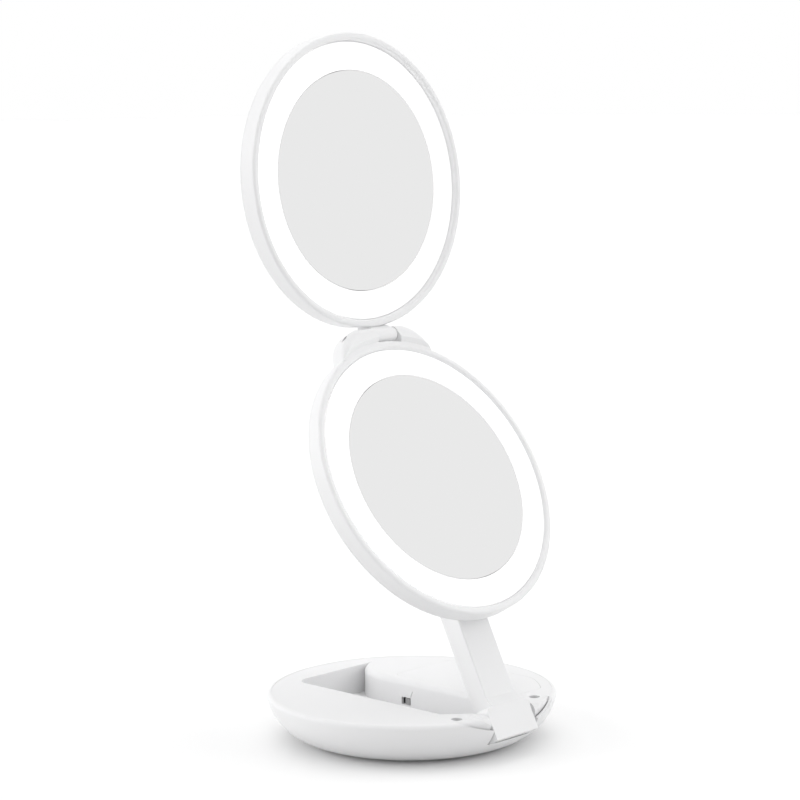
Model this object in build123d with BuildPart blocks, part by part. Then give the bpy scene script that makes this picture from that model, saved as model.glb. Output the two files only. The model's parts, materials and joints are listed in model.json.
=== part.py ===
import os
from math import cos, radians, sin

from build123d import *

os.makedirs("parts", exist_ok=True)

# A lighted travel mirror: a bowl-shaped base, a folding arm and two ring-lit mirror heads.
# Millimetres, +Z up, the mirrors face -Y, the origin is the middle of the base's underside.

# Clearances
running = 0.05  # radial, pin in bore
loose = 0.3  # between pieces of different bodies
seat = 0.1  # between pieces of one body

# Base bowl
base_height = 21.0
rim_radius = 65.9
bottom_inset = 19.4  # the flat bottom inside the rim
side_bulge = 4.6  # how far the side swells beyond a straight cone
shell_wall = 2.2
rim_lip = 2.2
rim_round = 1.5
pad_round = 0.25
pad_inset = 4.5
pad_thickness = 1.2
pad_stand = 0.8  # how far the pad stands below the shell

# Deck
deck_thickness = 2.0
deck_drop = 0.1  # deck top below the rim
channel_left = 24.5
channel_right = 10.2
channel_back_inset = 15.9
channel_depth = 13.4
channel_wall = 1.6
channel_slant_start = 17.2  # behind the hinge, where the left wall turns towards the notch
channel_slant_end = 7.2
notch_length = 8.7  # the hinge notch behind the hinge axis
channel_corner = 6.0
block_corner_x = 21.0
block_corner_length = 22.0
block_edge_round = 3.0

# Hinge between base and arm
hinge_inset = 8.7  # axis inside the rim
hinge_drop = 3.2  # axis below the rim
barrel_radius = 3.8
barrel_reach = 18.5
barrel_ramp = 10.0  # the deck's rise towards the barrels
barrel_edge_round = 0.8
pin_radius = 1.5
pin_reach = 19.0
pin_recess = 0.6
scoop_depth = 7.0  # how far the bowl's rim would dip at the middle
scoop_half_width = 30.8
apron_depth = 8.0  # the deck's rounded front reaches this far in from the rim
apron_round = 1.6

# Arm
arm_lean = 26.5  # degrees back from upright
arm_reach = 83.2  # base hinge to tilt pin
arm_width = 18.8
arm_front = 0.8  # front face in front of the hinge axis
arm_thickness = 10.0
arm_wall = 1.7
arm_hollow_start = 12.0
arm_hollow_end = 69.0
arm_lid_overlap = 2.5
arm_edge_round = 0.7
arm_screw_inset = 5.0
arm_post_radius = 2.6
foot_width = 27.4
foot_front = 2.86
foot_back = 5.2
foot_top = 6.0
foot_corner = 3.2
foot_blend = 4.0
foot_sweep = 9.07  # radius of the foot's underside about the hinge axis
foot_gap = 0.9  # each side, between foot and barrels

# Tilt knuckle and swivel
lug_width = 10.0
lug_radius = 4.6
lug_neck = 8.0
fork_clearance = 1.0
pin_behind_back = 7.8  # tilt pin behind the head's back face
swivel_offset = 25.7  # swivel axis below the head's centre
flange_radius = 9.4
flange_thickness = 1.8
swivel_shaft_radius = 5.0
swivel_boss_radius = 9.5
swivel_boss_height = 0.7
retainer_radius = 8.0
retainer_thickness = 0.8

# Mirror heads, each measured from its glass face
head_recline = 30.4  # lower head, degrees back from upright
head_radius = 66.2
lower_back = 8.3
upper_back = 7.3
lower_lip = 0.9
upper_lip = 2.5
lip_width = 3.3
lip_round = 1.2
frame_wall = 2.0
frame_ledge = 1.1
ring_width = 12.4
glass_thickness = 2.5
magnifier_dish = 0.9  # depth of the upper glass's hollow
magnifier_border = 0.8
ring_gap = 0.3
ring_groove = 0.7  # between the lit ring and the lip
ring_thickness = 1.3
ring_crown = 0.5
ring_edge = 0.1  # the lit ring's edges stand this much in front of the glass face
tray_plate = 1.6
tray_wall_width = 1.6
trough_depth = 4.0
trough_thickness = 1.2
cover_thickness = 1.6
cover_edge_round = 1.5
cover_rib_width = 1.6
cover_rib_top = 4.0
board_thickness = 0.8
board_margin = 1.8
led_count = 18
led_length = 3.5
led_width = 2.8
led_height = 1.2
cover_screw_count = 5
cover_screw_inset = 4.5  # inside the glass's edge
cover_screw_angle = 54.0
cover_boss_radius = 3.2
cover_recess = 1.3

# Screws
screw_head_radius = 2.2
screw_head_height = 1.1
screw_shank_radius = 1.0
screw_slot_length = 2.6
screw_slot_width = 0.6
arm_screw_length = 5.0
deck_screw_length = 11.0
retainer_screw_length = 3.0

# Hinge between the heads
mirror_hinge_gap = 0.6  # between the lower head's rim and the knuckle
mirror_hinge_set_back = 0.8  # axis behind the lower glass face
mirror_open_angle = 24.9  # how far the upper head leans forward of the lower one
lips_gap = 0.3  # between the two lips when folded shut
knuckle_radius = 3.4
knuckle_width = 12.1
knuckle_shift = 3.4  # hinge middle to the right of the heads' middle
knuckle_relief = 0.3  # the knuckle is this much slimmer than the ears
slot_flare = 1.6
mirror_pin_radius = 1.2
saddle_half_width = 28.5
saddle_top_width = 14.0
saddle_bulge = 3.0
saddle_corner = 2.0
saddle_ramp = 1.8  # width of the slope from the lip up to the saddle
neck_depth = 5.3

# Batteries and battery lid
cell_radius = 5.25
cell_length = 43.3
cell_nub_radius = 1.9
cell_nub_length = 1.2
cell_count = 3
cell_pitch = 10.9
first_cell_y = -16.0
cell_step = 7.0  # each cell lies this much further back than the last
cell_height = 12.0  # cell axis above the table
cell_gap = 0.15
tray_side = 0.8
tray_bottom = 5.6
tray_post_radius = 2.0
contact_radius = 4.4
contact_thickness = 0.4
contact_spring_radius = 2.6
contact_spring_length = 1.4
contact_spring_turns = 2.5
contact_wire_radius = 0.2
lid_gap = 0.12  # round the edge, a close fit
lid_channel_gap = 4.8
lid_right_inset = 13.9
lid_front_inset = 22.9
lid_back_gap = 3.0
lid_rim_inset = 7.4
lid_corner = 3.0
lid_ledge = 1.2
lid_ledge_thickness = 1.2

# Power switch
slot_y = 13.2
slot_drop = 9.9  # slot middle below the deck top
slot_length = 5.7
slot_height = 3.4
knob_length = 2.6
knob_stand = 0.3
index_length = 3.3
index_width = 0.4
index_depth = 0.5
index_lean = 23.0
index_gap = 0.3  # above the slot
switch_length = 9.6
switch_height = 5.6
switch_depth = 2.4
switch_back = 0.7

# Deck screws, driver board and wires
deck_screw_inset = 8.7
deck_screw_angle = 63.1
deck_screw_recess_radius = 2.5
deck_screw_recess = 4.6
deck_boss_radius = 3.7
deck_boss_depth = 4.0
driver_board_x = 37.0
driver_board_width = 18.0
driver_board_length = 36.0
driver_board_height = 6.0
driver_board_thickness = 1.6
driver_post_radius = 1.8
driver_post_inset = 2.0
chip_width = 5.0
chip_height = 1.4
coil_width = 6.0
coil_height = 3.0
capacitor_radius = 3.0
capacitor_height = 6.5
wire_radius = 0.6
wire_spacing = 3.0
wire_bend = 1.0

# Derived places
deck_top = base_height - deck_drop
deck_under = deck_top - deck_thickness
deck_radius = rim_radius - rim_lip
scoop_radius = (scoop_half_width**2 + scoop_depth**2) / (2 * scoop_depth)
bottom_radius = rim_radius - bottom_inset
pad_radius = bottom_radius - pad_inset
shell_floor = pad_stand + shell_wall
channel_floor = base_height - channel_depth
hinge_y = hinge_inset - rim_radius
hinge_z = base_height - hinge_drop
channel_back = rim_radius - channel_back_inset
block_corner_y = channel_back - block_corner_length
notch_back = hinge_y + notch_length
notch_half_width = foot_width / 2 + foot_gap
arm_half_width = arm_width / 2
arm_back = arm_front - arm_thickness
arm_middle = (arm_front + arm_back) / 2
lower_seam = lower_back - cover_thickness
upper_seam = upper_back - cover_thickness
frame_inner = head_radius - frame_wall
lip_inner = head_radius - lip_width
ring_outer = lip_inner - ring_groove
ring_inner = ring_outer - ring_width
glass_radius = ring_inner - ring_gap
cover_screw_circle = glass_radius - cover_screw_inset
rib_inner = frame_inner - loose - cover_rib_width
trough_outer = rib_inner - loose - trough_thickness
mirror_hinge_reach = head_radius + mirror_hinge_gap + knuckle_radius
tray_inner_wall = glass_radius + seat
trough_inner = tray_inner_wall + tray_wall_width
ring_under = ring_thickness - ring_edge
ledge_top = ring_under + seat
board_inner = trough_inner + board_margin
board_outer = trough_outer - board_margin
led_circle = (board_inner + board_outer) / 2
cell_bay = cell_length + cell_nub_length + contact_spring_length + 2 * contact_thickness
channel_wall_face = channel_right + channel_wall
first_cell_x = channel_wall_face + seat + tray_side + cell_pitch / 2
cell_places = [
    (first_cell_x + cell_pitch * i, first_cell_y + cell_step * i) for i in range(cell_count)
]
deck_screw_circle = rim_radius - deck_screw_inset
deck_screw_places = [
    (
        side * deck_screw_circle * cos(radians(deck_screw_angle)),
        -deck_screw_circle * sin(radians(deck_screw_angle)),
    )
    for side in (-1, 1)
]
slot_z = deck_top - slot_drop
apron_floor = deck_under - deck_boss_depth + seat


def facing(origin, lean):
    """A plane that faces the viewer, leaning back from upright by a number of degrees."""
    tilt = radians(lean)
    return Plane(origin=origin, x_dir=(1, 0, 0), z_dir=(0, -cos(tilt), sin(tilt)))


def side_of(plane, x=0.0):
    """The side view of such a plane: local x runs up it and local y out of its front."""
    return Plane(
        origin=plane.from_local_coords((x, 0, 0)), x_dir=plane.y_dir, z_dir=plane.x_dir
    )


def section_of(plane):
    """The half section of such a plane: local x runs outwards and local y out of its front."""
    return Plane(origin=plane.origin, x_dir=plane.x_dir, z_dir=-plane.y_dir)


arm_plane = facing((0, hinge_y, hinge_z), arm_lean)
pin_plane = facing(arm_plane.from_local_coords((0, arm_reach, arm_middle)), head_recline)
lower_plane = facing(
    pin_plane.from_local_coords((0, swivel_offset, pin_behind_back + lower_back)),
    head_recline,
)
mirror_axis_plane = facing(
    lower_plane.from_local_coords((0, mirror_hinge_reach, -mirror_hinge_set_back)),
    head_recline - mirror_open_angle,
)
mirror_hinge_rise = lower_lip + upper_lip + lips_gap + mirror_hinge_set_back
upper_plane = facing(
    mirror_axis_plane.from_local_coords((0, mirror_hinge_reach, -mirror_hinge_rise)),
    head_recline - mirror_open_angle,
)


def save(piece, name):
    """Name a finished piece and write it."""
    piece.part.label = name
    export_step(piece.part, f"parts/{name}.step")


def bowl_half(inset, low, high):
    """Half section of the bowl, moved inwards by inset."""
    with BuildSketch() as half:
        with BuildLine():
            Line((0, low), (bottom_radius - inset, low))
            SagittaArc((bottom_radius - inset, low), (rim_radius - inset, high), -side_bulge)
            Polyline((rim_radius - inset, high), (0, high), (0, low))
        make_face()
    return half.sketch


def block_arc(grow):
    """The arc of the block's back corner, drawn from the channel's straight wall to its back."""
    run = block_corner_x - channel_right
    radius = (run**2 + block_corner_length**2) / (2 * run)
    centre = channel_right + radius
    rise = block_corner_length + grow
    end = centre - ((radius - grow) ** 2 - rise**2) ** 0.5
    return Edge.make_tangent_arc(
        (channel_right + grow, block_corner_y), (0, 1), (end, channel_back + grow)
    )


def channel_outline(grow):
    """Plan of the arm's channel and the hinge notch, grown outwards by an amount."""
    left = -channel_left - grow
    right = channel_right + grow
    back = channel_back + grow
    notch = notch_half_width + grow
    with BuildSketch() as outline:
        with BuildLine():
            corner = block_arc(grow)
            add(corner)
            Polyline(
                corner @ 1,
                (left, back),
                (left, hinge_y + channel_slant_start - grow / 2),
                (-notch, hinge_y + channel_slant_end - grow / 2),
                (-notch, -rim_radius),
                (notch, -rim_radius),
                (notch, notch_back + grow),
                (right, notch_back + grow),
                (right, block_corner_y),
            )
        make_face()
        left_corners = outline.vertices().group_by(Axis.X)[0]
        fillet(left_corners.sort_by(Axis.Y)[-1], channel_corner + grow)
    return outline.sketch


def lid_outline(grow):
    """Plan of the battery lid, grown outwards by an amount."""
    left = channel_right + lid_channel_gap - grow
    right = rim_radius - lid_right_inset + grow
    front = lid_front_inset - rim_radius - grow
    back = block_corner_y - lid_back_gap + grow
    with BuildSketch() as outline:
        with Locations(((left + right) / 2, (front + back) / 2)):
            Rectangle(right - left, back - front)
        Circle(rim_radius - lid_rim_inset + grow, mode=Mode.INTERSECT)
        fillet(outline.vertices(), lid_corner)
    return outline.sketch


def screws(plane, places, length):
    """Cross-head screws whose heads sit on a plane and face along its normal."""
    with BuildPart() as group:
        with BuildSketch(plane):
            with Locations(*places):
                Circle(screw_head_radius)
        extrude(amount=screw_head_height)
        with BuildSketch(plane):
            with Locations(*places):
                Circle(screw_shank_radius)
        extrude(amount=-length)
        with BuildSketch(plane.offset(screw_head_height)):
            with Locations(*places):
                Rectangle(screw_slot_length, screw_slot_width)
                Rectangle(screw_slot_width, screw_slot_length)
        extrude(amount=-screw_head_height / 2, mode=Mode.SUBTRACT)
    return group


# Space inside the bowl, which trims what stands in it
with BuildPart() as bowl_room:
    with BuildSketch(Plane.XZ):
        add(bowl_half(shell_wall + seat, shell_floor + seat, deck_under))
    revolve(axis=Axis.Z)

# Posts of the shell, for the deck screws, the battery tray and the driver board
with BuildPart() as shell_posts:
    with BuildSketch(Plane.XY.offset(pad_stand)):
        with Locations(*deck_screw_places):
            Circle(deck_boss_radius)
    extrude(amount=deck_under - deck_boss_depth - pad_stand)
    with BuildSketch(Plane.XY.offset(pad_stand)):
        with Locations(*cell_places):
            Circle(tray_post_radius)
    extrude(amount=tray_bottom - pad_stand)
    with BuildSketch(Plane.XY.offset(pad_stand)):
        with Locations((-driver_board_x, 0)):
            with GridLocations(
                driver_board_width - 2 * driver_post_inset,
                driver_board_length - 2 * driver_post_inset,
                2,
                2,
            ):
                Circle(driver_post_radius)
    extrude(amount=driver_board_height - pad_stand)
    with BuildSketch(Plane.XZ):
        add(bowl_half(shell_wall / 2, pad_stand + shell_wall / 2, base_height))
    revolve(axis=Axis.Z, mode=Mode.INTERSECT)

# Base shell: the bowl, with a notch and a scooped rim at the hinge
with BuildPart() as base_shell:
    with BuildSketch(Plane.XZ):
        add(bowl_half(0, pad_stand, base_height))
    revolve(axis=Axis.Z)
    fillet(base_shell.edges().filter_by(GeomType.CIRCLE).sort_by(Axis.Z)[-1], rim_round)
    with BuildSketch(Plane.XZ):
        add(bowl_half(shell_wall, shell_floor, deck_under))
    revolve(axis=Axis.Z, mode=Mode.SUBTRACT)
    with BuildSketch(Plane.XY.offset(deck_under)):
        Circle(deck_radius)
    extrude(amount=2 * deck_thickness, mode=Mode.SUBTRACT)
    with BuildSketch():
        Circle(pad_radius + seat)
    extrude(amount=pad_thickness, mode=Mode.SUBTRACT)
    with BuildSketch(Plane.XZ.offset(-notch_back)):
        with Locations((0, base_height - scoop_depth + scoop_radius)):
            Circle(scoop_radius)
        with Locations((0, hinge_z + base_height / 2)):
            Rectangle(2 * notch_half_width, base_height)
    extrude(amount=rim_radius, mode=Mode.SUBTRACT)
    with BuildSketch(Plane.YZ):
        with Locations((hinge_y, hinge_z)):
            Circle(foot_sweep + loose)
    extrude(amount=notch_half_width, both=True, mode=Mode.SUBTRACT)
    add(shell_posts.part)
    with BuildSketch(Plane.XY.offset(deck_under)):
        with Locations(*deck_screw_places):
            Circle(screw_shank_radius + seat)
    extrude(amount=-deck_screw_length - seat, mode=Mode.SUBTRACT)
save(base_shell, "base_shell")

# Soft pad under the base
with BuildPart() as base_pad:
    with BuildSketch():
        Circle(pad_radius)
    extrude(amount=pad_thickness - seat)
    fillet(base_pad.edges().sort_by(Axis.Z)[0], pad_round)
save(base_pad, "base_pad")

# Channel that takes the folded arm, as part of the deck
with BuildPart() as channel_trough:
    with BuildSketch(Plane.XY.offset(channel_floor - channel_wall)):
        add(channel_outline(channel_wall))
    extrude(amount=deck_under - channel_floor + channel_wall)
    add(bowl_room.part, mode=Mode.INTERSECT)
    with BuildSketch(Plane.XY.offset(apron_floor)):
        with Locations((0, hinge_y - rim_radius / 2)):
            Rectangle(2 * rim_radius, rim_radius)
    extrude(amount=base_height, mode=Mode.SUBTRACT)

# Index mark above the switch slot
index_place = (
    slot_y - slot_length / 2 - index_length / 2 * sin(radians(index_lean)),
    slot_z + slot_height / 2 + index_gap + index_length / 2 * cos(radians(index_lean)),
)

# What the rounding of the block's top edge takes away beside the channel
with BuildPart() as square_block:
    with BuildSketch(Plane.XY.offset(deck_top)):
        with BuildLine():
            corner = block_arc(0)
            add(corner)
            Polyline(
                corner @ 1,
                (rim_radius, channel_back),
                (rim_radius, notch_back),
                (channel_right, notch_back),
                (channel_right, block_corner_y),
            )
        make_face()
    extrude(amount=-2 * block_edge_round)
with BuildPart() as round_block:
    add(square_block.part)
    fillet(round_block.edges().group_by(Axis.Z)[-1].sort_by(Axis.X)[:2], block_edge_round)
with BuildPart() as block_rounding:
    add(square_block.part)
    add(round_block.part, mode=Mode.SUBTRACT)

# Space inside the bowl's wall and above it, which the deck's front fills
with BuildPart() as front_room:
    with BuildSketch(Plane.XZ):
        add(bowl_half(shell_wall + seat, shell_floor, deck_top))
    revolve(axis=Axis.Z)
    with BuildSketch(Plane.XY.offset(deck_top)):
        Circle(rim_radius - shell_wall - seat)
    extrude(amount=base_height)

# Hinge barrels, with a ramp that rises to them from the deck
with BuildPart() as barrels:
    with BuildSketch(Plane.YZ):
        with Locations((hinge_y, hinge_z)):
            Circle(barrel_radius)
        with BuildLine():
            Polyline(
                (hinge_y, hinge_z + barrel_radius),
                (hinge_y + barrel_ramp, deck_top),
                (hinge_y + barrel_ramp, deck_under),
                (hinge_y, deck_under),
                close=True,
            )
        make_face()
    extrude(amount=barrel_reach, both=True)
    chamfer(barrels.faces().filter_by(Axis.X).edges(), barrel_edge_round)
    add(front_room.part, mode=Mode.INTERSECT)

# Apron: the deck's front beside the foot, which comes down inside the bowl's scooped wall
with BuildPart() as apron_zone:
    with BuildSketch(Plane.XZ.offset(-notch_back)):
        with Locations((0, base_height / 2)):
            Rectangle(2 * scoop_half_width, base_height)
    extrude(amount=rim_radius)
    with BuildSketch():
        Circle(rim_radius - apron_depth)
    extrude(amount=base_height, mode=Mode.SUBTRACT)
with BuildPart() as apron:
    with BuildSketch(Plane.XZ):
        add(bowl_half(shell_wall + seat, shell_floor, deck_top))
    revolve(axis=Axis.Z)
    fillet(apron.edges().filter_by(GeomType.CIRCLE).sort_by(Axis.Z)[-1], apron_round)
    add(apron_zone.part, mode=Mode.INTERSECT)
    with BuildSketch(Plane.YZ):
        with Locations((hinge_y, hinge_z)):
            Circle(barrel_radius)
        with BuildLine():
            Polyline(
                (notch_back, deck_top),
                (hinge_y, deck_top),
                (hinge_y - barrel_radius, hinge_z),
                (hinge_y - barrel_radius, apron_floor),
                (notch_back, apron_floor),
                close=True,
            )
        make_face()
    extrude(amount=scoop_half_width, both=True, mode=Mode.INTERSECT)

# Deck with the channel, the hinge barrels and the battery opening
with BuildPart() as base_deck:
    with BuildSketch(Plane.XY.offset(deck_under)):
        Circle(deck_radius - running)
    extrude(amount=deck_thickness)
    add(apron_zone.part, mode=Mode.SUBTRACT)
    add(apron.part)
    add(barrels.part)
    with BuildSketch(Plane.XY.offset(deck_under)):
        with Locations(*deck_screw_places):
            Circle(deck_boss_radius)
    extrude(amount=-deck_boss_depth + seat)
    with BuildSketch(Plane.XY.offset(deck_under)):
        add(lid_outline(lid_ledge))
    extrude(amount=-lid_ledge_thickness)
    add(channel_trough.part)
    with BuildSketch(Plane.XY.offset(channel_floor)):
        add(channel_outline(0))
    extrude(amount=2 * channel_depth, mode=Mode.SUBTRACT)
    with BuildSketch(Plane.XY.offset(deck_top)):
        add(lid_outline(lid_gap))
    extrude(amount=-deck_thickness, mode=Mode.SUBTRACT)
    with BuildSketch(Plane.XY.offset(deck_under)):
        add(lid_outline(-lid_ledge))
    extrude(amount=-lid_ledge_thickness, mode=Mode.SUBTRACT)
    add(block_rounding.part, mode=Mode.SUBTRACT)
    with BuildSketch(Plane.XY.offset(deck_top)):
        with Locations(*deck_screw_places):
            Circle(deck_screw_recess_radius)
    extrude(amount=-deck_screw_recess, mode=Mode.SUBTRACT)
    with BuildSketch(Plane.XY.offset(deck_top)):
        with Locations(*deck_screw_places):
            Circle(screw_shank_radius + seat)
    extrude(amount=-deck_thickness - deck_boss_depth, mode=Mode.SUBTRACT)
    with BuildSketch(Plane.YZ):
        with Locations((hinge_y, hinge_z)):
            Circle(pin_radius + running)
    extrude(amount=pin_reach + pin_recess, both=True, mode=Mode.SUBTRACT)
    with BuildSketch(Plane.YZ.offset(channel_right)):
        with Locations((slot_y, slot_z)):
            Rectangle(slot_length, slot_height)
    extrude(amount=channel_wall, mode=Mode.SUBTRACT)
    with BuildSketch(Plane.YZ.offset(channel_right)):
        with Locations(Location(index_place, index_lean)):
            Rectangle(index_width, index_length)
    extrude(amount=index_depth, mode=Mode.SUBTRACT)
save(base_deck, "base_deck")

deck_screw_seat = deck_top - deck_screw_recess
deck_screws = screws(
    Plane.XY.offset(deck_screw_seat), deck_screw_places, deck_screw_length - deck_screw_recess
)
save(deck_screws, "deck_screws")

with BuildPart() as base_hinge_pin:
    with BuildSketch(Plane.YZ):
        with Locations((hinge_y, hinge_z)):
            Circle(pin_radius)
    extrude(amount=pin_reach, both=True)
save(base_hinge_pin, "base_hinge_pin")

# Battery lid, which lifts off the deck
with BuildPart() as battery_lid:
    with BuildSketch(Plane.XY.offset(deck_top)):
        add(lid_outline(0))
    extrude(amount=loose - deck_thickness)
save(battery_lid, "battery_lid")

# Batteries, staggered to follow the bowl, in their tray
with BuildPart() as battery_tray:
    for x, y in cell_places:
        with BuildSketch(Plane.XY.offset(tray_bottom)):
            with Locations((x, y)):
                Rectangle(
                    cell_pitch + 2 * tray_side, cell_bay + 2 * cell_gap + 2 * tray_side
                )
        extrude(amount=cell_height - tray_bottom)
    for x, y in cell_places:
        with BuildSketch(Plane(origin=(x, y, cell_height), z_dir=(0, 1, 0))):
            Circle(cell_radius + cell_gap)
        extrude(amount=cell_bay / 2 + cell_gap, both=True, mode=Mode.SUBTRACT)
    add(bowl_room.part, mode=Mode.INTERSECT)
save(battery_tray, "battery_tray")

with BuildPart() as batteries:
    for x, y in cell_places:
        cell_end = y - cell_bay / 2 + contact_thickness + contact_spring_length
        with BuildSketch(Plane(origin=(x, cell_end, cell_height), z_dir=(0, 1, 0))):
            Circle(cell_radius)
        extrude(amount=cell_length)
        with BuildSketch(
            Plane(origin=(x, cell_end + cell_length, cell_height), z_dir=(0, 1, 0))
        ):
            Circle(cell_nub_radius)
        extrude(amount=cell_nub_length - seat)
save(batteries, "batteries")

with BuildPart() as battery_contacts:
    for x, y in cell_places:
        for end in (-1, 1):
            with BuildSketch(
                Plane(origin=(x, y + end * cell_bay / 2, cell_height), z_dir=(0, -end, 0))
            ):
                Circle(contact_radius)
            extrude(amount=contact_thickness)
        spring_start = y - cell_bay / 2 + contact_thickness - contact_wire_radius / 2
        spring_run = contact_spring_length - contact_wire_radius / 2 - running
        with BuildLine() as coil:
            Helix(
                pitch=spring_run / contact_spring_turns,
                height=spring_run,
                radius=contact_spring_radius,
                center=(x, spring_start, cell_height),
                direction=(0, 1, 0),
            )
        with BuildSketch(Plane(origin=coil.line @ 0, z_dir=coil.line % 0)):
            Circle(contact_wire_radius)
        sweep(path=coil.line)
save(battery_contacts, "battery_contacts")

# Power switch behind the slot in the channel's wall
with BuildPart() as switch_housing:
    with BuildSketch(Plane.YZ.offset(channel_wall_face + seat)):
        with Locations((slot_y, slot_z)):
            Rectangle(switch_length, switch_height)
    extrude(amount=switch_depth)
    with BuildSketch(Plane.YZ.offset(channel_wall_face + seat)):
        with Locations((slot_y, slot_z)):
            Rectangle(slot_length, slot_height)
    extrude(amount=switch_depth - switch_back, mode=Mode.SUBTRACT)
save(switch_housing, "switch_housing")

knob_y = slot_y - slot_length / 2 + loose + knob_length / 2
with BuildPart() as switch_knob:
    with BuildSketch(Plane.YZ.offset(channel_right - knob_stand)):
        with Locations((knob_y, slot_z)):
            Rectangle(knob_length, slot_height - 2 * loose)
    extrude(amount=knob_stand + channel_wall + seat + switch_depth - switch_back - loose)
    for rib in (-1, 0, 1):
        with BuildSketch(Plane.YZ.offset(channel_right - knob_stand)):
            with Locations((knob_y + rib * knob_length / 3, slot_z)):
                Rectangle(knob_length / 8, slot_height)
        extrude(amount=knob_stand / 2, mode=Mode.SUBTRACT)
save(switch_knob, "switch_knob")

# Driver board and what is soldered to it
with BuildPart() as driver_board:
    with BuildSketch(Plane.XY.offset(driver_board_height)):
        with Locations((-driver_board_x, 0)):
            Rectangle(driver_board_width, driver_board_length)
    extrude(amount=driver_board_thickness)
save(driver_board, "driver_board")

board_top = driver_board_height + driver_board_thickness
with BuildPart() as board_components:
    with BuildSketch(Plane.XY.offset(board_top)):
        with Locations(
            (-driver_board_x, driver_board_length / 8),
            (-driver_board_x - chip_width / 2, -driver_board_length / 3),
        ):
            Rectangle(chip_width, chip_width)
    extrude(amount=chip_height)
    with BuildSketch(Plane.XY.offset(board_top)):
        with Locations((-driver_board_x, -driver_board_length / 8)):
            Rectangle(coil_width, coil_width)
    extrude(amount=coil_height)
    with BuildSketch(Plane.XY.offset(board_top)):
        with Locations((-driver_board_x, driver_board_length / 3)):
            Circle(capacitor_radius)
    extrude(amount=capacitor_height)
save(board_components, "board_components")

# Wires from the board, under the channel, to the battery tray
wire_drop_x = -(channel_left + channel_wall + driver_board_x - driver_board_width / 2) / 2
wire_low = (shell_floor + channel_floor - channel_wall) / 2
wire_end_x = channel_wall_face + seat + wire_bend + wire_radius
with BuildPart() as base_wires:
    for side in (-1, 1):
        wire_y = side * wire_spacing / 2 - 2 * wire_spacing
        wire_start = (wire_drop_x - 2 * wire_spacing, wire_y, board_top + wire_radius + running)
        with BuildLine() as wire_path:
            FilletPolyline(
                wire_start,
                (wire_drop_x, wire_y, board_top + wire_radius + running),
                (wire_drop_x, wire_y, wire_low),
                (wire_end_x, wire_y, wire_low),
                (wire_end_x, wire_y, tray_bottom - running),
                radius=wire_bend,
            )
        with BuildSketch(Plane(origin=wire_start, z_dir=(1, 0, 0))):
            Circle(wire_radius)
        sweep(path=wire_path.wires()[0])
save(base_wires, "base_wires")

# Foot of the arm, wider than the arm, with a skirt below the hinge axis
with BuildPart() as foot_block:
    with BuildSketch(arm_plane.offset(-foot_back)) as foot_face:
        with Locations((0, (foot_top - foot_sweep) / 2)):
            Rectangle(foot_width, foot_top + foot_sweep)
        fillet(foot_face.vertices().sort_by(Axis.Y)[-2:], foot_corner)
    extrude(amount=foot_back + foot_front)
    with BuildSketch(side_of(arm_plane)):
        Circle(foot_sweep)
    extrude(amount=foot_width, both=True, mode=Mode.INTERSECT)

# Arm front: a hollow beam with the foot below and the fork above
cover_start = arm_hollow_start - arm_lid_overlap
cover_end = arm_hollow_end + arm_lid_overlap
arm_screw_places = [
    (0, arm_hollow_start + arm_screw_inset),
    (0, arm_hollow_end - arm_screw_inset),
]
with BuildPart() as arm_front_shell:
    with BuildSketch(side_of(arm_plane)):
        with Locations((arm_reach / 2, arm_middle)):
            Rectangle(arm_reach, arm_thickness)
        with Locations((arm_reach, arm_middle)):
            Circle(arm_thickness / 2)
        with BuildLine():
            Polyline(
                (foot_top - foot_corner, foot_front),
                (foot_top, foot_front),
                (foot_top + foot_blend, arm_front),
                (foot_top - foot_corner, arm_front),
                close=True,
            )
        make_face()
    extrude(amount=arm_half_width, both=True)
    long_edges = arm_front_shell.edges().filter_by(
        lambda edge: edge.length > arm_reach / 2 and abs(edge.center().X) > arm_half_width / 2
    )
    fillet(long_edges, arm_edge_round)
    add(foot_block.part)
    with BuildSketch(arm_plane.offset(arm_back)):
        with Locations((0, (cover_start + cover_end) / 2)):
            Rectangle(2 * arm_width, cover_end - cover_start)
    extrude(amount=arm_wall, mode=Mode.SUBTRACT)
    with BuildSketch(arm_plane.offset(arm_back)):
        with Locations((0, (arm_hollow_start + arm_hollow_end) / 2)):
            Rectangle(arm_width - 2 * arm_wall, arm_hollow_end - arm_hollow_start)
        with Locations(*arm_screw_places):
            Circle(arm_post_radius, mode=Mode.SUBTRACT)
    extrude(amount=arm_thickness - arm_wall, mode=Mode.SUBTRACT)
    with BuildSketch(arm_plane.offset(arm_back)):
        with Locations(*arm_screw_places):
            Circle(screw_shank_radius + seat)
    extrude(amount=arm_wall + arm_screw_length, mode=Mode.SUBTRACT)
    with BuildSketch(arm_plane.offset(arm_back)):
        with Locations((0, arm_reach)):
            Rectangle(lug_width + 2 * loose, 2 * (lug_radius + fork_clearance))
    extrude(amount=arm_thickness, mode=Mode.SUBTRACT)
    with BuildSketch(side_of(arm_plane)):
        Circle(pin_radius + running)
        with Locations((arm_reach, arm_middle)):
            Circle(pin_radius + running)
    extrude(amount=foot_width, both=True, mode=Mode.SUBTRACT)
save(arm_front_shell, "arm_front_shell")

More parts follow.
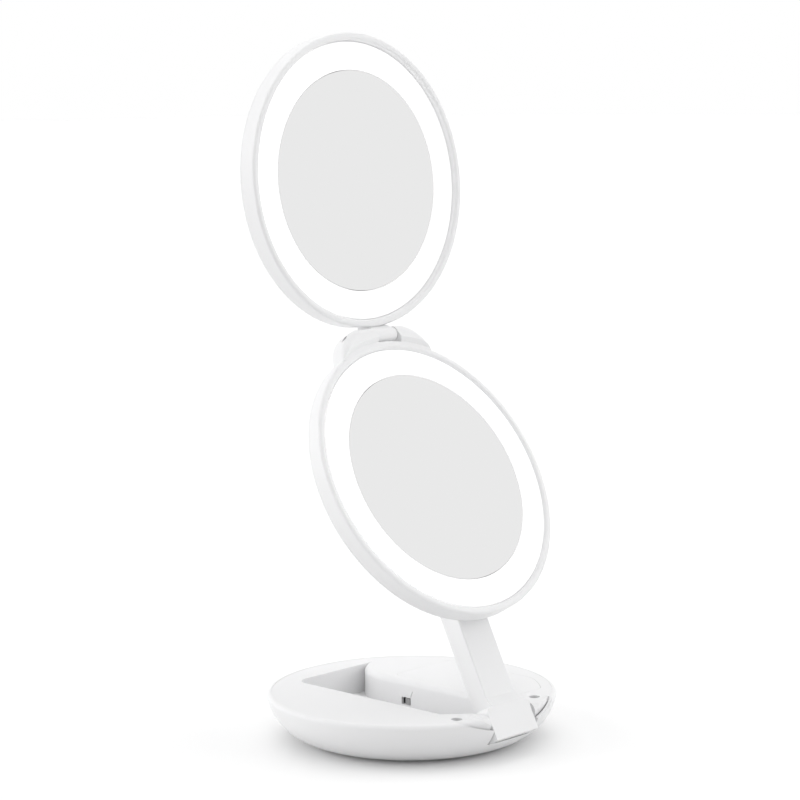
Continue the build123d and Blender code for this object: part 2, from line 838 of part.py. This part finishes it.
with BuildPart() as arm_back_cover:
    with BuildSketch(arm_plane.offset(arm_back)):
        with Locations((0, (cover_start + cover_end) / 2)):
            Rectangle(arm_width, cover_end - cover_start - 2 * seat)
    extrude(amount=arm_wall - running)
    outer_edges = arm_back_cover.edges().filter_by(
        lambda edge: edge.length > arm_reach / 2
    ).group_by(Axis(arm_plane.origin, arm_plane.z_dir))[0]
    fillet(outer_edges, arm_edge_round)
    with BuildSketch(arm_plane.offset(arm_back)):
        with Locations(*arm_screw_places):
            Circle(screw_head_radius + seat)
    extrude(amount=screw_head_height, mode=Mode.SUBTRACT)
    with BuildSketch(arm_plane.offset(arm_back)):
        with Locations(*arm_screw_places):
            Circle(screw_shank_radius + seat)
    extrude(amount=arm_wall, mode=Mode.SUBTRACT)
save(arm_back_cover, "arm_back_cover")

arm_screw_plane = Plane(
    origin=arm_plane.offset(arm_back + screw_head_height).origin,
    x_dir=-arm_plane.x_dir,
    z_dir=-arm_plane.z_dir,
)
arm_screws = screws(arm_screw_plane, arm_screw_places, arm_screw_length)
save(arm_screws, "arm_screws")

with BuildPart() as arm_wires:
    with BuildSketch(
        Plane(
            origin=arm_plane.from_local_coords((0, arm_hollow_start + seat, 0)),
            x_dir=arm_plane.x_dir,
            z_dir=arm_plane.y_dir,
        )
    ):
        with Locations((0, arm_wall - arm_front + wire_radius + running)):
            with GridLocations(2 * arm_post_radius + wire_spacing, 1, 2, 1):
                Circle(wire_radius)
    extrude(amount=arm_hollow_end - arm_hollow_start - 2 * seat)
save(arm_wires, "arm_wires")

with BuildPart() as tilt_pin:
    with BuildSketch(side_of(pin_plane)):
        Circle(pin_radius)
    extrude(amount=arm_half_width - pin_recess, both=True)
save(tilt_pin, "tilt_pin")

# Tilt knuckle: the lug on the tilt pin, its flange and the swivel shaft
flange_back = pin_behind_back - loose - flange_thickness
retainer_back = pin_behind_back + cover_thickness + swivel_boss_height + 2 * seat
with BuildPart() as tilt_knuckle:
    with BuildSketch(side_of(pin_plane)):
        Circle(lug_radius)
        with Locations((0, flange_back / 2)):
            Rectangle(lug_neck, flange_back)
    extrude(amount=lug_width / 2, both=True)
    with BuildSketch(pin_plane.offset(flange_back)):
        Circle(flange_radius)
    extrude(amount=flange_thickness)
    with BuildSketch(pin_plane.offset(flange_back)):
        Circle(swivel_shaft_radius)
    extrude(amount=retainer_back - flange_back)
    with BuildSketch(side_of(pin_plane)):
        Circle(pin_radius + running)
    extrude(amount=lug_width, both=True, mode=Mode.SUBTRACT)
    with BuildSketch(pin_plane.offset(retainer_back)):
        Circle(screw_shank_radius + seat)
    extrude(amount=-retainer_screw_length, mode=Mode.SUBTRACT)
save(tilt_knuckle, "tilt_knuckle")

with BuildPart() as swivel_retainer:
    with BuildSketch(pin_plane.offset(retainer_back)):
        Circle(retainer_radius)
        Circle(screw_shank_radius + seat, mode=Mode.SUBTRACT)
    extrude(amount=retainer_thickness)
save(swivel_retainer, "swivel_retainer")


def frame_ring(plane, lip, seam):
    """Front frame of a head: a side wall, a rounded lip and a ledge under the lit ring."""
    with BuildPart() as ring:
        with BuildSketch(section_of(plane)) as profile:
            with BuildLine():
                Polyline(
                    (frame_inner, -seam + seat),
                    (head_radius, -seam + seat),
                    (head_radius, lip),
                    (lip_inner, lip),
                    (lip_inner, -ledge_top),
                    (ring_outer - frame_ledge, -ledge_top),
                    (ring_outer - frame_ledge, -ledge_top - frame_ledge),
                    (frame_inner, -ledge_top - frame_ledge),
                    close=True,
                )
            make_face()
            fillet(profile.vertices().sort_by(Axis.Y)[-2:], lip_round)
        revolve(axis=Axis(plane.origin, plane.z_dir))
    return ring.part


# Saddle on top of the lower head, rounded like the hinge barrel it holds
saddle_foot = (head_radius**2 - saddle_half_width**2) ** 0.5
saddle_top = mirror_hinge_reach + knuckle_radius
saddle_front = knuckle_radius - mirror_hinge_set_back
flank_run = saddle_half_width - saddle_top_width
flank_rise = saddle_top - saddle_foot
flank_length = (flank_run**2 + flank_rise**2) ** 0.5
flank_middle = (
    (saddle_half_width + saddle_top_width) / 2 + saddle_bulge * flank_rise / flank_length,
    (saddle_foot + saddle_top) / 2 + saddle_bulge * flank_run / flank_length,
)
knuckle_left = knuckle_shift - knuckle_width / 2
knuckle_right = knuckle_shift + knuckle_width / 2
lower_hinge_side = side_of(lower_plane)
with BuildPart() as saddle:
    with BuildSketch(lower_plane.offset(seat - lower_seam)) as saddle_outline:
        with BuildLine():
            Line((-saddle_half_width, saddle_foot), (saddle_half_width, saddle_foot))
            ThreePointArc(
                (saddle_half_width, saddle_foot), flank_middle, (saddle_top_width, saddle_top)
            )
            Line((saddle_top_width, saddle_top), (-saddle_top_width, saddle_top))
            ThreePointArc(
                (-saddle_top_width, saddle_top),
                (-flank_middle[0], flank_middle[1]),
                (-saddle_half_width, saddle_foot),
            )
        make_face()
        fillet(saddle_outline.vertices().group_by(Axis.Y)[-1], saddle_corner)
    extrude(amount=lower_seam - seat + saddle_front)
    front_edges = saddle.edges().group_by(Axis(lower_plane.origin, lower_plane.z_dir))[-1]
    outer_edges = front_edges.sort_by(Axis(lower_plane.origin, lower_plane.y_dir))[1:]
    fillet(outer_edges, knuckle_radius - seat)
    with BuildSketch(lower_plane.offset(-lower_back)):
        Circle(head_radius - frame_wall / 2)
    extrude(amount=3 * lower_back, mode=Mode.SUBTRACT)
    with BuildSketch(section_of(lower_plane)):
        with BuildLine():
            Polyline(
                (0, lower_lip),
                (head_radius + loose, lower_lip),
                (head_radius + loose + saddle_ramp, saddle_front + seat),
                (0, saddle_front + seat),
                close=True,
            )
        make_face()
    revolve(axis=Axis(lower_plane.origin, lower_plane.z_dir), mode=Mode.SUBTRACT)
    with BuildSketch(lower_plane.offset(-lower_back)):
        with BuildLine():
            Polyline(
                (knuckle_left - loose, saddle_top + loose),
                (knuckle_left - loose, saddle_foot),
                (knuckle_right + loose + slot_flare, saddle_foot),
                (knuckle_right + loose + slot_flare, head_radius),
                (knuckle_right + loose, mirror_hinge_reach),
                (knuckle_right + loose, saddle_top + loose),
                close=True,
            )
        make_face()
        Circle(head_radius, mode=Mode.SUBTRACT)
    extrude(amount=3 * lower_back, mode=Mode.SUBTRACT)
    with BuildSketch(lower_hinge_side):
        with Locations((mirror_hinge_reach, -mirror_hinge_set_back)):
            Circle(mirror_pin_radius + running)
    extrude(amount=saddle_half_width, both=True, mode=Mode.SUBTRACT)

with BuildPart() as lower_front_frame:
    add(saddle.part)
    add(frame_ring(lower_plane, lower_lip, lower_seam))
save(lower_front_frame, "lower_front_frame")

# Upper front frame with the hinge knuckle on its neck
upper_hinge_side = side_of(upper_plane, knuckle_shift)
neck_foot = -head_radius + frame_wall / 4
middle_radius = knuckle_radius - knuckle_relief
with BuildPart() as upper_front_frame:
    with BuildSketch(upper_hinge_side):
        with Locations((-mirror_hinge_reach, mirror_hinge_rise)):
            Circle(middle_radius)
        with BuildLine():
            Polyline(
                (neck_foot, 0),
                (neck_foot, -neck_depth),
                (neck_foot - frame_wall, -neck_depth),
                (
                    -mirror_hinge_reach - middle_radius * cos(radians(30)),
                    mirror_hinge_rise - middle_radius * sin(radians(30)),
                ),
                (
                    -mirror_hinge_reach + middle_radius * cos(radians(30)),
                    mirror_hinge_rise + middle_radius * sin(radians(30)),
                ),
                close=True,
            )
        make_face()
        with Locations((-mirror_hinge_reach, mirror_hinge_rise)):
            Circle(mirror_pin_radius + running, mode=Mode.SUBTRACT)
    extrude(amount=knuckle_width / 2, both=True)
    add(frame_ring(upper_plane, upper_lip, upper_seam))
save(upper_front_frame, "upper_front_frame")

with BuildPart() as mirror_hinge_pin:
    with BuildSketch(lower_hinge_side):
        with Locations((mirror_hinge_reach, -mirror_hinge_set_back)):
            Circle(mirror_pin_radius)
    extrude(amount=saddle_top_width - pin_recess, both=True)
save(mirror_hinge_pin, "mirror_hinge_pin")

# What both heads hold: tray, glass, lit ring, LED board, LEDs, back cover and its screws
cover_screw_places = [
    (
        cover_screw_circle * cos(radians(cover_screw_angle + i * 360 / cover_screw_count)),
        cover_screw_circle * sin(radians(cover_screw_angle + i * 360 / cover_screw_count)),
    )
    for i in range(cover_screw_count)
]
for head, plane, back, dish in (
    ("lower", lower_plane, lower_back, 0),
    ("upper", upper_plane, upper_back, magnifier_dish),
):
    seam = back - cover_thickness
    half = section_of(plane)
    turn = Axis(plane.origin, plane.z_dir)

    with BuildPart() as mirror_tray:
        with BuildSketch(half):
            with BuildLine():
                Polyline(
                    (0, -glass_thickness - tray_plate),
                    (0, -glass_thickness - seat),
                    (tray_inner_wall, -glass_thickness - seat),
                    (tray_inner_wall, -ledge_top),
                    (trough_inner, -ledge_top),
                    (trough_inner, -trough_depth),
                    (trough_outer, -trough_depth),
                    (trough_outer, -ledge_top - frame_ledge - seat),
                    (frame_inner - loose, -ledge_top - frame_ledge - seat),
                    (frame_inner - loose, -cover_rib_top + seat),
                    (trough_outer + trough_thickness, -cover_rib_top + seat),
                    (trough_outer + trough_thickness, -trough_depth - trough_thickness),
                    (tray_inner_wall, -trough_depth - trough_thickness),
                    (tray_inner_wall, -glass_thickness - tray_plate),
                    close=True,
                )
            make_face()
        revolve(axis=turn)
        with BuildSketch(plane.offset(-glass_thickness - tray_plate)):
            with Locations(*cover_screw_places):
                Circle(screw_shank_radius + seat)
        extrude(amount=tray_plate / 2 + seat, mode=Mode.SUBTRACT)
    save(mirror_tray, f"{head}_mirror_tray")

    with BuildPart() as mirror_glass:
        with BuildSketch(plane):
            Circle(glass_radius)
        extrude(amount=-glass_thickness)
        if dish > 0:
            dish_rim = glass_radius - magnifier_border
            dish_radius = (dish_rim**2 + dish**2) / (2 * dish)
            with BuildSketch(half):
                with BuildLine():
                    Line((0, -dish), (0, glass_thickness))
                    Line((0, glass_thickness), (dish_rim, glass_thickness))
                    Line((dish_rim, glass_thickness), (dish_rim, 0))
                    RadiusArc((dish_rim, 0), (0, -dish), dish_radius)
                make_face()
            revolve(axis=turn, mode=Mode.SUBTRACT)
    save(mirror_glass, f"{head}_mirror_glass")

    with BuildPart() as light_ring:
        with BuildSketch(half):
            with BuildLine():
                Polyline(
                    (ring_inner, ring_edge),
                    (ring_inner, -ring_under),
                    (ring_outer, -ring_under),
                    (ring_outer, ring_edge),
                )
                SagittaArc((ring_outer, ring_edge), (ring_inner, ring_edge), ring_crown)
            make_face()
        revolve(axis=turn)
    save(light_ring, f"{head}_light_ring")

    with BuildPart() as led_board:
        with BuildSketch(plane.offset(-trough_depth)):
            Circle(board_outer)
            Circle(board_inner, mode=Mode.SUBTRACT)
        extrude(amount=board_thickness)
    save(led_board, f"{head}_led_board")

    with BuildPart() as leds:
        with BuildSketch(plane.offset(-trough_depth + board_thickness)):
            with PolarLocations(led_circle, led_count):
                Rectangle(led_width, led_length)
        extrude(amount=led_height)
    save(leds, f"{head}_leds")

    with BuildPart() as back_cover:
        with BuildSketch(half) as cover_profile:
            with BuildLine():
                Polyline(
                    (0, -back),
                    (head_radius, -back),
                    (head_radius, -seam),
                    (frame_inner - loose, -seam),
                    (frame_inner - loose, -cover_rib_top),
                    (rib_inner, -cover_rib_top),
                    (rib_inner, -seam),
                    (0, -seam),
                    close=True,
                )
            make_face()
            fillet(
                cover_profile.vertices().group_by(Axis.Y)[0].sort_by(Axis.X)[-1],
                cover_edge_round,
            )
        revolve(axis=turn)
        with BuildSketch(plane.offset(-seam)):
            with Locations(*cover_screw_places):
                Circle(cover_boss_radius)
        extrude(amount=seam - glass_thickness - tray_plate - seat)
        if head == "lower":
            with BuildSketch(plane.offset(-seam)):
                with Locations((0, -swivel_offset)):
                    Circle(swivel_boss_radius)
            extrude(amount=swivel_boss_height)
            with BuildSketch(plane.offset(-back)):
                with Locations((0, -swivel_offset)):
                    Circle(swivel_shaft_radius + running)
            extrude(amount=back, mode=Mode.SUBTRACT)
        with BuildSketch(plane.offset(-back)):
            with Locations(*cover_screw_places):
                Circle(screw_head_radius + seat)
        extrude(amount=cover_recess, mode=Mode.SUBTRACT)
        with BuildSketch(plane.offset(-back)):
            with Locations(*cover_screw_places):
                Circle(screw_shank_radius + seat)
        extrude(amount=back, mode=Mode.SUBTRACT)
    save(back_cover, f"{head}_back_cover")

    cover_screw_plane = Plane(
        origin=plane.offset(cover_recess - back).origin,
        x_dir=-plane.x_dir,
        z_dir=-plane.z_dir,
    )
    mirrored_places = [(-x, y) for x, y in cover_screw_places]
    cover_screw_length = back - cover_recess - glass_thickness - tray_plate / 2
    cover_screws = screws(cover_screw_plane, mirrored_places, cover_screw_length)
    save(cover_screws, f"{head}_cover_screws")
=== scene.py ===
import json
from math import cos, radians, sin

import bmesh
import bpy
from mathutils import Matrix, Vector

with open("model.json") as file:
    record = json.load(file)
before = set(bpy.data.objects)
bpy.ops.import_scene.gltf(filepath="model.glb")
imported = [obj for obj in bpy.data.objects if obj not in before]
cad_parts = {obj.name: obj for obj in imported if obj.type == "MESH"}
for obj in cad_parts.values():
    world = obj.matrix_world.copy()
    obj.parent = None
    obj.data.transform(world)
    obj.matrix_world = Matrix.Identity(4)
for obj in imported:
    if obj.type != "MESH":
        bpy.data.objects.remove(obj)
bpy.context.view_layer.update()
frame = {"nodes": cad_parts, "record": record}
print("frame loaded:", len(frame["nodes"]), "nodes")


grainLook = {
    "plasticIor": 1.5,
    "noiseDetail": 3,
    "sizePerDepth": 6,  # how many times wider than deep the grain is
}


# Moulded plastic, with a fine spark-eroded grain where the look asks for one
def makePlastic(name, look):
    material = bpy.data.materials.new(name)
    material.use_nodes = True
    nodes = material.node_tree.nodes
    links = material.node_tree.links
    shader = nodes["Principled BSDF"]
    shader.inputs["Base Color"].default_value = (*look["color"], 1)
    shader.inputs["Roughness"].default_value = look["roughness"]
    shader.inputs["IOR"].default_value = grainLook["plasticIor"]
    if look.get("grain", 0) > 0:
        place = nodes.new("ShaderNodeTexCoord")
        grain = nodes.new("ShaderNodeTexNoise")
        grain.inputs["Scale"].default_value = 1 / look["grainSize"]
        grain.inputs["Detail"].default_value = grainLook["noiseDetail"]
        bump = nodes.new("ShaderNodeBump")
        bump.inputs["Strength"].default_value = look["grain"]
        bump.inputs["Distance"].default_value = look["grainSize"] / grainLook["sizePerDepth"]
        links.new(place.outputs["Object"], grain.inputs["Vector"])
        links.new(grain.outputs["Fac"], bump.inputs["Height"])
        links.new(bump.outputs["Normal"], shader.inputs["Normal"])
    return material


# Bare metal and the silvered glass
def makeMetal(name, look):
    material = makePlastic(name, look)
    material.node_tree.nodes["Principled BSDF"].inputs["Metallic"].default_value = 1
    return material


# Plastic that glows: the light rings and the LEDs behind them
def makeLit(name, look):
    material = makePlastic(name, look)
    shader = material.node_tree.nodes["Principled BSDF"]
    shader.inputs["Emission Color"].default_value = (*look["glow"], 1)
    shader.inputs["Emission Strength"].default_value = look["strength"]
    return material


# One finish for each material slot of the frame's record
finishes = {
    "body_white": ("plastic", {"color": (0.88, 0.88, 0.885), "roughness": 0.3,
                               "grain": 0.1, "grainSize": 0.0004}),
    "deck_white": ("plastic", {"color": (0.86, 0.86, 0.865), "roughness": 0.38,
                               "grain": 0.12, "grainSize": 0.0004}),
    "inner_white": ("plastic", {"color": (0.82, 0.82, 0.81), "roughness": 0.55}),
    "knuckle_white": ("plastic", {"color": (0.84, 0.84, 0.84), "roughness": 0.35}),
    "diffuser": ("lit", {"color": (0.95, 0.95, 0.95), "roughness": 0.45,
                         "glow": (1.0, 1.0, 1.0), "strength": 0.3}),
    "mirror": ("metal", {"color": (0.815, 0.815, 0.815), "roughness": 0.0}),
    "steel": ("metal", {"color": (0.55, 0.55, 0.56), "roughness": 0.3}),
    "nickel": ("metal", {"color": (0.66, 0.64, 0.6), "roughness": 0.25}),
    "board_green": ("plastic", {"color": (0.03, 0.16, 0.07), "roughness": 0.4}),
    "board_white": ("plastic", {"color": (0.85, 0.85, 0.82), "roughness": 0.5}),
    "led_yellow": ("lit", {"color": (0.9, 0.75, 0.25), "roughness": 0.4,
                           "glow": (1.0, 0.97, 0.9), "strength": 1.0}),
    "component_black": ("plastic", {"color": (0.02, 0.02, 0.02), "roughness": 0.5}),
    "switch_black": ("plastic", {"color": (0.02, 0.02, 0.02), "roughness": 0.45}),
    "switch_grey": ("plastic", {"color": (0.42, 0.42, 0.42), "roughness": 0.45}),
    "cell_sleeve": ("plastic", {"color": (0.03, 0.035, 0.045), "roughness": 0.3}),
    "pad_rubber": ("plastic", {"color": (0.3, 0.3, 0.3), "roughness": 0.9}),
    "wire_red": ("plastic", {"color": (0.45, 0.02, 0.02), "roughness": 0.4}),
}
makers = {"plastic": makePlastic, "metal": makeMetal, "lit": makeLit}
materials = {slot: makers[kind](slot, look) for slot, (kind, look) in finishes.items()}
for entry in frame["record"]["subparts"]:
    node = frame["nodes"][entry["node"]]
    node.data.materials.clear()
    node.data.materials.append(materials[entry["material_slot"]])
print("finishes set:", len(materials))

# Floor and world: white where the camera looks, with the object's own shadow kept
studio = {
    "floorSize": 40.0,
    "floorSeen": 1.0,  # what the camera and the mirrors see
    "floorBounce": 0.78,  # what lights the object from below
    "floorLift": 0.01,
    "skySeen": 1.0,
    "skyLight": 0.38,
    "sunAngle": 70,  # wide, so that the shadows are soft
    "suns": {
        "sideSun": {"from": (-0.68, 0.72, 0.1), "strength": 1.95},
        "leftSun": {"from": (-0.94, -0.3, 0.12), "strength": 0.5},
        "backSun": {"from": (0.4, 0.4, 0.8), "strength": 0.6},
        "topSun": {"from": (0.0, 0.0, 1.0), "strength": 0.8},
        "frontSun": {"from": (0.69, -0.72, 0.25), "strength": 1.4},
    },
}


# Only rays that reach the picture directly or through a mirror see the backdrop's own white
def addSeenSwitch(nodes, links, unseen, seen):
    path = nodes.new("ShaderNodeLightPath")
    glossy = nodes.new("ShaderNodeMath")
    glossy.operation = "MAXIMUM"
    clear = nodes.new("ShaderNodeMath")
    clear.operation = "MAXIMUM"
    switch = nodes.new("ShaderNodeMapRange")
    switch.inputs["To Min"].default_value = unseen
    switch.inputs["To Max"].default_value = seen
    links.new(path.outputs["Is Camera Ray"], glossy.inputs[0])
    links.new(path.outputs["Is Glossy Ray"], glossy.inputs[1])
    links.new(glossy.outputs["Value"], clear.inputs[0])
    links.new(path.outputs["Is Transmission Ray"], clear.inputs[1])
    links.new(clear.outputs["Value"], switch.inputs["Value"])
    return switch.outputs["Result"]


def makeFloorMaterial():
    material = bpy.data.materials.new("floorWhite")
    material.use_nodes = True
    nodes = material.node_tree.nodes
    links = material.node_tree.links
    nodes.clear()
    output = nodes.new("ShaderNodeOutputMaterial")
    matt = nodes.new("ShaderNodeBsdfDiffuse")
    lift = nodes.new("ShaderNodeEmission")
    total = nodes.new("ShaderNodeAddShader")
    tone = addSeenSwitch(nodes, links, studio["floorBounce"], studio["floorSeen"])
    raised = addSeenSwitch(nodes, links, 0, studio["floorLift"])
    links.new(tone, matt.inputs["Color"])
    links.new(raised, lift.inputs["Strength"])
    links.new(matt.outputs["BSDF"], total.inputs[0])
    links.new(lift.outputs["Emission"], total.inputs[1])
    links.new(total.outputs["Shader"], output.inputs["Surface"])
    return material


floorMesh = bpy.data.meshes.new("floor")
sheet = bmesh.new()
bmesh.ops.create_grid(sheet, x_segments=1, y_segments=1, size=studio["floorSize"] / 2)
sheet.to_mesh(floorMesh)
sheet.free()
floor = bpy.data.objects.new("floor", floorMesh)
bpy.context.scene.collection.objects.link(floor)
floor.data.materials.append(makeFloorMaterial())

world = bpy.data.worlds.new("studio")
bpy.context.scene.world = world
world.use_nodes = True
nodes = world.node_tree.nodes
links = world.node_tree.links
sky = nodes["Background"]
sky.inputs["Color"].default_value = (1, 1, 1, 1)
skyStrength = addSeenSwitch(nodes, links, studio["skyLight"], studio["skySeen"])
links.new(skyStrength, sky.inputs["Strength"])

# The suns light the object but don't show in the mirrors
for name, look in studio["suns"].items():
    sun = bpy.data.lights.new(name, "SUN")
    sun.energy = look["strength"]
    sun.angle = radians(studio["sunAngle"])
    sunObject = bpy.data.objects.new(name, sun)
    sunObject.rotation_euler = Vector(look["from"]).to_track_quat("Z", "Y").to_euler()
    sunObject.visible_glossy = False
    bpy.context.scene.collection.objects.link(sunObject)
print("studio lit")

# Camera, fitted to the photograph's outlines
view = {
    "azimuth": -46.485,
    "elevation": 7.336,
    "roll": -0.542,
    "distance": 1.0725,
    "lens": 108.0,
    "sensorWidth": 36,
    "targetRight": -0.00404,
    "targetHeight": 0.15313,
}
azimuth = radians(view["azimuth"])
elevation = radians(view["elevation"])
roll = radians(view["roll"])
back = Vector((
    sin(azimuth) * cos(elevation), -cos(azimuth) * cos(elevation), sin(elevation)
))
right = Vector((cos(azimuth), sin(azimuth), 0))
up = back.cross(right)
cameraRight = right * cos(roll) + up * sin(roll)
cameraUp = up * cos(roll) - right * sin(roll)
target = right * view["targetRight"] + Vector((0, 0, view["targetHeight"]))
place = target + back * view["distance"]
camera = bpy.data.cameras.new("camera")
camera.lens = view["lens"]
camera.sensor_width = view["sensorWidth"]
cameraObject = bpy.data.objects.new("camera", camera)
turn = Matrix((cameraRight, cameraUp, back)).transposed()
cameraObject.matrix_world = Matrix.Translation(place) @ turn.to_4x4()
bpy.context.scene.collection.objects.link(cameraObject)
bpy.context.scene.camera = cameraObject

bpy.context.scene.view_settings.view_transform = "Standard"
